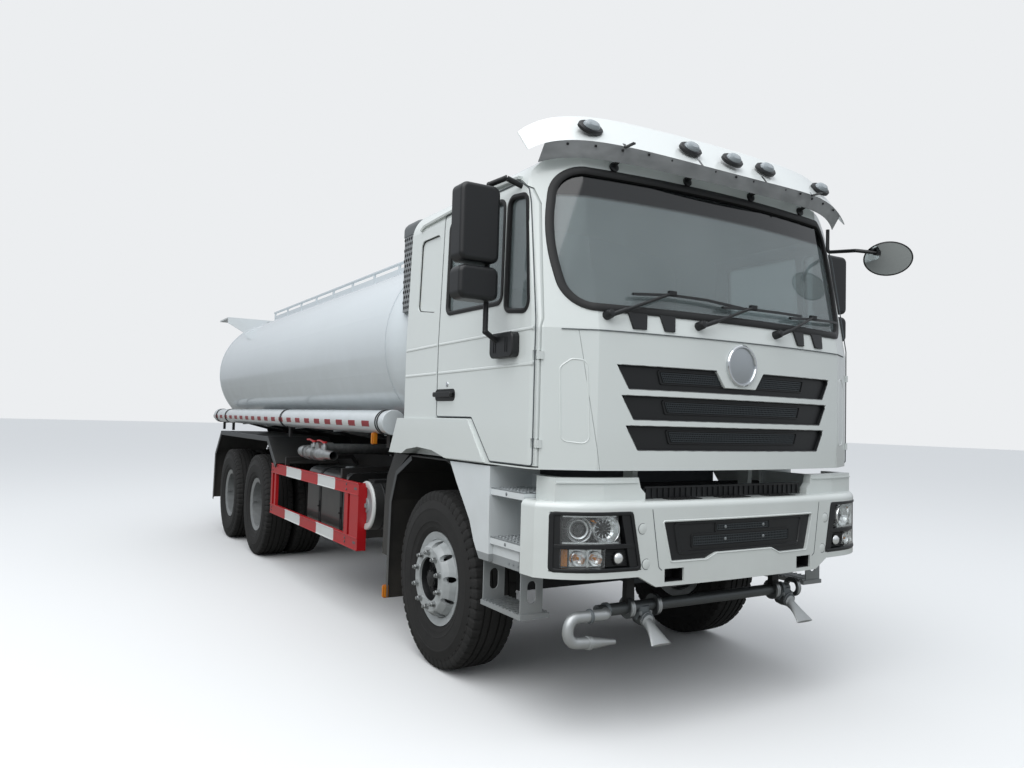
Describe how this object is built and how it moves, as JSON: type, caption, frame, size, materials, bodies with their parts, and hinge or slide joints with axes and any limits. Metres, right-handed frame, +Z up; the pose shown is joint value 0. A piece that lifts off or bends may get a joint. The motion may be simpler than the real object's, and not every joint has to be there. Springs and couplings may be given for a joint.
{
  "type": "tanker truck",
  "caption": "Three-axle water tanker truck: forward-tilting cab with opening doors, steering front wheels, twin rear wheels, oval tank with manway lid, hose tubes and front spray nozzles.",
  "frame": {"origin": "on the ground under the middle of the whole vehicle's outline, on its centre plane", "axes": "+Z up, front faces -Y, +X to the vehicle's own left"},
  "size_m": [3.136, 9.1322, 3.2624],
  "materials": {
    "body_white": "gloss paint",
    "tank_white": "gloss paint",
    "chassis_black": "satin paint",
    "guard_red": "gloss paint",
    "tyre_rubber": "matt rubber",
    "rim_silver": "satin paint",
    "cast_grey": "rough cast",
    "spring_steel": "satin paint",
    "black_plastic": "grained",
    "grey_plastic": "grained",
    "mirror_black": "gloss",
    "hose_white": "gloss",
    "rail_white": "gloss paint",
    "pipe_steel": "brushed",
    "lamp_lens": "clear",
    "screen_glass": "tinted clear",
    "seat_fabric": "woven",
    "step_alloy": "ribbed",
    "smoked_acrylic": "gloss, smoked"
  },
  "bodies": {
    "chassis": {"chassis_frame": "chassis_black", "engine_block": "cast_grey", "driveline": "cast_grey", "front_axle": "cast_grey", "rear_axles": "cast_grey", "leaf_springs": "spring_steel", "side_tanks": "chassis_black", "air_intake": "black_plastic", "side_guards": "guard_red", "mudguards": "grey_plastic", "tank_shell": "tank_white", "tank_bearers": "chassis_black", "hose_tubes": "hose_white", "top_rails": "rail_white", "rear_platform": "rail_white", "rear_guard": "guard_red", "spray_pipes": "pipe_steel", "side_valves": "pipe_steel", "front_bumper": "body_white", "bumper_grille": "black_plastic", "headlamps": "lamp_lens", "boarding_steps": "step_alloy"},
    "cab": {"cab_shell": "body_white", "windscreen": "screen_glass", "front_panel": "body_white", "grille_inserts": "black_plastic", "sun_visor": "body_white", "wipers": "black_plastic", "seats": "seat_fabric", "dashboard": "grey_plastic", "steering_wheel": "black_plastic", "cab_fenders": "body_white", "front_mirror": "mirror_black", "visor_shade": "smoked_acrylic"},
    "door_left": {"door_left": "body_white", "door_glass_left": "screen_glass", "mirror_left": "black_plastic"},
    "door_right": {"door_right": "body_white", "door_glass_right": "screen_glass", "mirror_right": "black_plastic"},
    "manway_lid": {"manway_lid": "rail_white"},
    "knuckle_left": {"knuckle_left": "cast_grey"},
    "wheel_front_left": {"tyre_front_left": "tyre_rubber", "rim_front_left": "rim_silver"},
    "wheel_rear_1_left": {"tyres_rear_1_left": "tyre_rubber", "rims_rear_1_left": "rim_silver"},
    "wheel_rear_2_left": {"tyres_rear_2_left": "tyre_rubber", "rims_rear_2_left": "rim_silver"},
    "knuckle_right": {"knuckle_right": "cast_grey"},
    "wheel_front_right": {"tyre_front_right": "tyre_rubber", "rim_front_right": "rim_silver"},
    "wheel_rear_1_right": {"tyres_rear_1_right": "tyre_rubber", "rims_rear_1_right": "rim_silver"},
    "wheel_rear_2_right": {"tyres_rear_2_right": "tyre_rubber", "rims_rear_2_right": "rim_silver"}
  },
  "joints": [
    {"name": "cab_tilt", "type": "hinge", "parent": "chassis", "child": "cab", "pos_m": [0, -4.35, 1], "axis": [1, 0, 0], "range_deg": [0, 50]},
    {"name": "door_left_swing", "type": "hinge", "parent": "cab", "child": "door_left", "pos_m": [1.222, -4.238, 2], "axis": [0, 0, -1], "range_deg": [0, 70]},
    {"name": "door_right_swing", "type": "hinge", "parent": "cab", "child": "door_right", "pos_m": [-1.222, -4.238, 2], "axis": [0, 0, 1], "range_deg": [0, 70]},
    {"name": "manway_lid_swing", "type": "hinge", "parent": "chassis", "child": "manway_lid", "pos_m": [-0.305, 0.61, 3.0263], "axis": [0, -1, 0], "range_deg": [0, 100]},
    {"name": "steer_left", "type": "hinge", "parent": "chassis", "child": "knuckle_left", "pos_m": [0.9, -2.99, 0.562], "axis": [0, 0, 1], "range_deg": [-34, 34]},
    {"name": "wheel_front_left_spin", "type": "hinge", "parent": "knuckle_left", "child": "wheel_front_left", "pos_m": [1.018, -2.99, 0.562], "axis": [1, 0, 0], "continuous": true},
    {"name": "wheel_rear_1_left_spin", "type": "hinge", "parent": "chassis", "child": "wheel_rear_1_left", "pos_m": [0.908, 1.585, 0.562], "axis": [1, 0, 0], "continuous": true},
    {"name": "wheel_rear_2_left_spin", "type": "hinge", "parent": "chassis", "child": "wheel_rear_2_left", "pos_m": [0.908, 2.985, 0.562], "axis": [1, 0, 0], "continuous": true},
    {"name": "steer_right", "type": "hinge", "parent": "chassis", "child": "knuckle_right", "pos_m": [-0.9, -2.99, 0.562], "axis": [0, 0, 1], "range_deg": [-34, 34]},
    {"name": "wheel_front_right_spin", "type": "hinge", "parent": "knuckle_right", "child": "wheel_front_right", "pos_m": [-1.018, -2.99, 0.562], "axis": [1, 0, 0], "continuous": true},
    {"name": "wheel_rear_1_right_spin", "type": "hinge", "parent": "chassis", "child": "wheel_rear_1_right", "pos_m": [-0.908, 1.585, 0.562], "axis": [1, 0, 0], "continuous": true},
    {"name": "wheel_rear_2_right_spin", "type": "hinge", "parent": "chassis", "child": "wheel_rear_2_right", "pos_m": [-0.908, 2.985, 0.562], "axis": [1, 0, 0], "continuous": true}
  ],
  "couplings": [
    {"joint": "steer_left", "follows": "steer_right", "ratio": 1}
  ]
}
